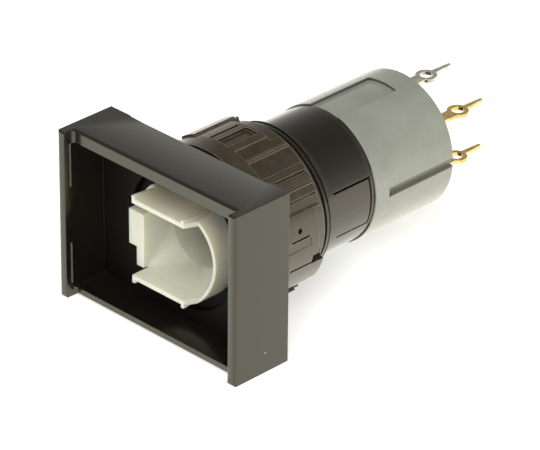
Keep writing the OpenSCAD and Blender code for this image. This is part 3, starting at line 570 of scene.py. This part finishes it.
# ---------------------------------------------------------------- switch housing
# Housing of the switching element, moulded in grey filled polyester with a satin skin. The long
# side grooves are painted a darker grey as shade, and so are the walls of the latch pockets above
# and below.
GROOVE_HALF, SKIN_R, POCKET_FLOOR_R, POCKET_FROM_Z, POCKET_END_Y = 0.53, 7.15, 6.89, 3.0, 26.0
grey, shader = finish_named("satin_grey_polyester")
spot = add(grey, "TexCoord").outputs["Object"]
place = add(grey, "SeparateXYZ", {"Vector": spot}).outputs
cloud = add(grey, "TexNoise", {"Vector": spot, "Scale": 0.3 / MM, "Detail": 3.0})
tone = add(grey, "ValToRGB", {"Fac": cloud.outputs["Fac"]})
set_tones(tone, (0.3, "#8d9085"), (0.75, "#999c91"))
height = add(grey, "Math", {0: place["Z"]}, operation="ABSOLUTE").outputs["Value"]
square_x = add(grey, "Math", {0: place["X"], 1: place["X"]}, operation="MULTIPLY")
square_z = add(grey, "Math", {0: place["Z"], 1: place["Z"]}, operation="MULTIPLY")
square_r = add(grey, "Math", {0: square_x.outputs["Value"], 1: square_z.outputs["Value"]},
               operation="ADD").outputs["Value"]
below_skin = (square_r, "LESS_THAN", (SKIN_R * MM) ** 2)
# Painted shade: in the long grooves, below the skin, the grey is mixed darker.
groove_shade_mask = where(grey, (height, "LESS_THAN", GROOVE_HALF * MM), below_skin)
# Painted shade: the latch pockets' walls, between their floor and the skin, are given a dark grey.
pocket_wall_shade_mask = where(grey, (square_r, "GREATER_THAN", (POCKET_FLOOR_R * MM) ** 2), below_skin,
                (height, "GREATER_THAN", POCKET_FROM_Z * MM),
                (place["Y"], "LESS_THAN", POCKET_END_Y * MM))
groove_shaded_tone = add(grey, "Mix", {0: groove_shade_mask, 6: tone.outputs["Color"], 7: paint("#7b7c70")},
            data_type="RGBA")
pocket_wall_shaded_tone = add(grey, "Mix", {0: pocket_wall_shade_mask, 6: groove_shaded_tone.outputs[2], 7: paint("#4f5048")}, data_type="RGBA")
grain = add(grey, "TexNoise", {"Vector": spot, "Scale": 5 / MM, "Detail": 2.0})
shade = add(grey, "MapRange", {"Value": grain.outputs["Fac"], "To Min": 0.2, "To Max": 0.28})
soft_edge = add(grey, "Bevel", {"Radius": 0.07 * MM}, samples=6)
bump = add(grey, "Bump", {
    "Strength": 0.1, "Distance": 0.02 * MM, "Height": grain.outputs["Fac"],
    "Normal": soft_edge.outputs["Normal"]})
fill(grey, shader, {
    "Base Color": pocket_wall_shaded_tone.outputs[2], "Roughness": shade.outputs["Result"],
    "Normal": bump.outputs["Normal"], "IOR": 1.55})
dress(parts["switch_housing"], grey)

# ---------------------------------------------------------------- slider and its spring
# Yoke and stem in natural white acetal: slippery, slightly waxy and translucent. The legs of the
# carrier push it, and its own coil between the stem and the terminal base brings it back.
acetal, shader = finish_named("natural_acetal")
spot = add(acetal, "TexCoord").outputs["Object"]
cloud = add(acetal, "TexNoise", {"Vector": spot, "Scale": 0.5 / MM, "Detail": 2.0})
tone = add(acetal, "ValToRGB", {"Fac": cloud.outputs["Fac"]})
set_tones(tone, (0.0, "#d2cec0"), (1.0, "#dedacd"))
shade = add(acetal, "MapRange", {"Value": cloud.outputs["Fac"], "To Min": 0.38, "To Max": 0.5})
soft_edge = add(acetal, "Bevel", {"Radius": 0.08 * MM}, samples=4)
fill(acetal, shader, {
    "Base Color": tone.outputs["Color"], "Roughness": shade.outputs["Result"],
    "Normal": soft_edge.outputs["Normal"], "Subsurface Weight": 0.3,
    "Subsurface Radius": (1.0, 0.9, 0.75), "Subsurface Scale": 0.4 * MM})
dress(parts["switch_slider"], acetal)

# 8.3 mm long at rest and 5.3 mm when the slider is pressed
slider_coil = wound_spring("slider_coil", mean_r=1.15, wire=0.3, turns=9,
                           start=(0, 18.0, 0), end=(0, 26.3, 0), sides=10, per_turn=32)
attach(slider_coil, "housing")
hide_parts("slider_spring")
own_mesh(slider_coil)

# ---------------------------------------------------------------- snap-action contacts
# Levers of rolled copper alloy with riveted silver contacts. A fine tension spring runs from each
# peg of the slider to the ear of its lever and tips over as the slider passes it.
copper = rolled_metal("rolled_copper_alloy", "#c48a5e", "#a06a42", low=0.28, high=0.42)
silver = rolled_metal("riveted_silver", "#d8d8d4", "#b4b2aa", low=0.22, high=0.34)
for side in ("make", "break"):
    dress(parts["contact_lever_" + side], copper)
    dress(parts["moving_contact_" + side], silver)
    dress(parts["fixed_contact_" + side], silver)

PEG_END, EAR_END = (2.4, 20.25, 0.35), (3.45, 21.85, 1.5)
snap_coil_make = wound_spring("snap_coil_make", mean_r=0.26, wire=0.11, turns=9,
                              start=PEG_END, end=EAR_END, sides=8, per_turn=18)
snap_coil_break = snap_coil_make.copy()
snap_coil_break.data = snap_coil_make.data.copy()
snap_coil_break.name = snap_coil_break.data.name = "snap_coil_break"
bpy.context.scene.collection.objects.link(snap_coil_break)
snap_coil_break.rotation_euler = (0, math.pi, 0)
take(snap_coil_break)
bpy.ops.object.transform_apply(location=True, rotation=True, scale=True)
for spring, node, side in ((snap_coil_make, "snap_spring_make", 1),
                           (snap_coil_break, "snap_spring_break", -1)):
    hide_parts(node)
    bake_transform(spring)

# ---------------------------------------------------------------- terminal base
# Disc of black filled polyester that closes the rear and holds the six terminals, satin, with a
# shallow moulded cross and a pin that guides the slider's spring.
base_black, shader = finish_named("black_filled_polyester")
spot = add(base_black, "TexCoord").outputs["Object"]
grain = add(base_black, "TexNoise", {"Vector": spot, "Scale": 3.5 / MM, "Detail": 3.0})
tone = add(base_black, "ValToRGB", {"Fac": grain.outputs["Fac"]})
set_tones(tone, (0.0, "#1b1a18"), (1.0, "#292826"))
shade = add(base_black, "MapRange", {"Value": grain.outputs["Fac"], "To Min": 0.4, "To Max": 0.55})
soft_edge = add(base_black, "Bevel", {"Radius": 0.05 * MM}, samples=4)
bump = add(base_black, "Bump", {
    "Strength": 0.15, "Distance": 0.02 * MM, "Height": grain.outputs["Fac"],
    "Normal": soft_edge.outputs["Normal"]})
fill(base_black, shader, {
    "Base Color": tone.outputs["Color"], "Roughness": shade.outputs["Result"],
    "Normal": bump.outputs["Normal"]})
dress(parts["terminal_base"], base_black)

# ---------------------------------------------------------------- terminals
# Stamped brass blades with a solder eye. The two lamp terminals are tin-plated, the four contact
# terminals gold-plated; both platings are bright, with stamping lines and darker clouds.
tin = rolled_metal("bright_tin_plate", "#dcdcd2", "#b5b4a8", low=0.2, high=0.34)
gold = rolled_metal("bright_gold_plate", "#ecd294", "#c9a25a", low=0.16, high=0.3)
for node in ("lamp_terminal_top", "lamp_terminal_bottom"):
    dress(parts[node], tin)
for node in ("make_terminal", "make_common_terminal", "break_terminal", "break_common_terminal"):
    dress(parts[node], gold)

# ---------------------------------------------------------------- studio
# White card as a table in a light tent with a dimmer roof, one soft lamp from the front right and
# a weak one above. The card glows, so that it comes out white under them, and twice as much in
# gloss and clear pieces; all but the camera see that glow a little warmer.
TABLE_Z = -9.02
start_clean()
bpy.ops.mesh.primitive_plane_add(size=3.0, location=(0, 0, TABLE_Z * MM))
table = place_here("table")
white, shader = finish_named("white_card")
seen = add(white, "LightPath").outputs
mirrored = add(white, "Math", {0: seen["Is Glossy Ray"], 1: seen["Is Transmission Ray"]},
               operation="MAXIMUM")
glow = add(white, "MapRange", {"Value": mirrored.outputs["Value"], "To Min": 0.5, "To Max": 1.0})
cast = add(white, "Mix", {0: seen["Is Camera Ray"], 6: (1.0, 0.98, 0.88, 1), 7: (1, 1, 1, 1)},
           data_type="RGBA")
fill(white, shader, {
    "Base Color": paint("#f4f4f2"), "Roughness": 0.9, "Emission Color": cast.outputs[2],
    "Emission Strength": glow.outputs["Result"]})
dress(table, white)

# The tent is bright at the table's height and darker towards its roof; the camera sees plain white
world = bpy.data.worlds.new("tent")
bpy.context.scene.world = world
world.use_nodes = True
world.node_tree.nodes.clear()
seen = add(world, "LightPath").outputs
heading = add(world, "SeparateXYZ", {"Vector": add(world, "TexCoord").outputs["Generated"]})
climb = add(world, "MapRange", {"Value": heading.outputs["Z"], "From Max": 0.75})
tent = add(world, "ValToRGB", {"Fac": climb.outputs["Result"]})
heights = tent.color_ramp.elements
heights[0].color = (1.0, 0.985, 0.93, 1)
heights[1].color = (0.24, 0.228, 0.2, 1)
for height, level in ((0.35, 0.66), (0.65, 0.42)):
    heights.new(height).color = (level, 0.985 * level, 0.93 * level, 1)
walls = add(world, "Background", {"Color": tent.outputs["Color"], "Strength": 1.0})
backdrop = add(world, "Background", {"Color": (1, 1, 1, 1), "Strength": 1.0})
choice = add(world, "MixShader", {
    0: seen["Is Camera Ray"], 1: walls.outputs[0], 2: backdrop.outputs[0]})
add(world, "OutputWorld", {"Surface": choice.outputs[0]})


def outward(azimuth, elevation):
    """The direction from the switch towards an azimuth and elevation in degrees, 0 is the front."""
    a, e = math.radians(azimuth), math.radians(elevation)
    return Vector((math.sin(a) * math.cos(e), -math.cos(a) * math.cos(e), math.sin(e)))


def lamp(name, azimuth, elevation, size, power, distance=0.5):
    """A soft square lamp, in metres and watts, aimed at the middle of the barrel."""
    light = bpy.data.objects.new(name, bpy.data.lights.new(name, "AREA"))
    light.data.size = size
    light.data.energy = power
    out = outward(azimuth, elevation)
    light.location = Vector((0, 12 * MM, 0)) + out * distance
    light.rotation_euler = out.to_track_quat("Z", "Y").to_euler()
    bpy.context.scene.collection.objects.link(light)


lamp("key", azimuth=40, elevation=44, size=0.35, power=1.5)
lamp("top", azimuth=60, elevation=80, size=0.4, power=0.6)

# Camera with a long lens, 29 degrees above the table, solved from the bezel's corners in the photo
AZIMUTH, ELEVATION, ROLL = 44.757, 29.192, 0.566
DISTANCE, FOCAL_PX, ASIDE, ABOVE, PHOTO_W, SENSOR = 377.76, 3988.4, 6.747, 0.7016, 540, 36
turn, roll = math.radians(AZIMUTH), math.radians(ROLL)
back = outward(AZIMUTH, ELEVATION)
right = Vector((math.cos(turn), math.sin(turn), 0))
up = back.cross(right)
right, up = (right * math.cos(roll) + up * math.sin(roll),
             up * math.cos(roll) - right * math.sin(roll))
camera = bpy.data.objects.new("camera", bpy.data.cameras.new("camera"))
camera.data.sensor_width = SENSOR
camera.data.lens = FOCAL_PX * SENSOR / PHOTO_W
camera.data.clip_start = 0.01
place = (back * DISTANCE + right * ASIDE + up * ABOVE) * MM
camera.matrix_world = (Matrix.Translation(place)
                       @ Matrix((right, up, back)).transposed().to_4x4())
bpy.context.scene.collection.objects.link(camera)
bpy.context.scene.camera = camera
bpy.context.scene.view_settings.view_transform = "Standard"
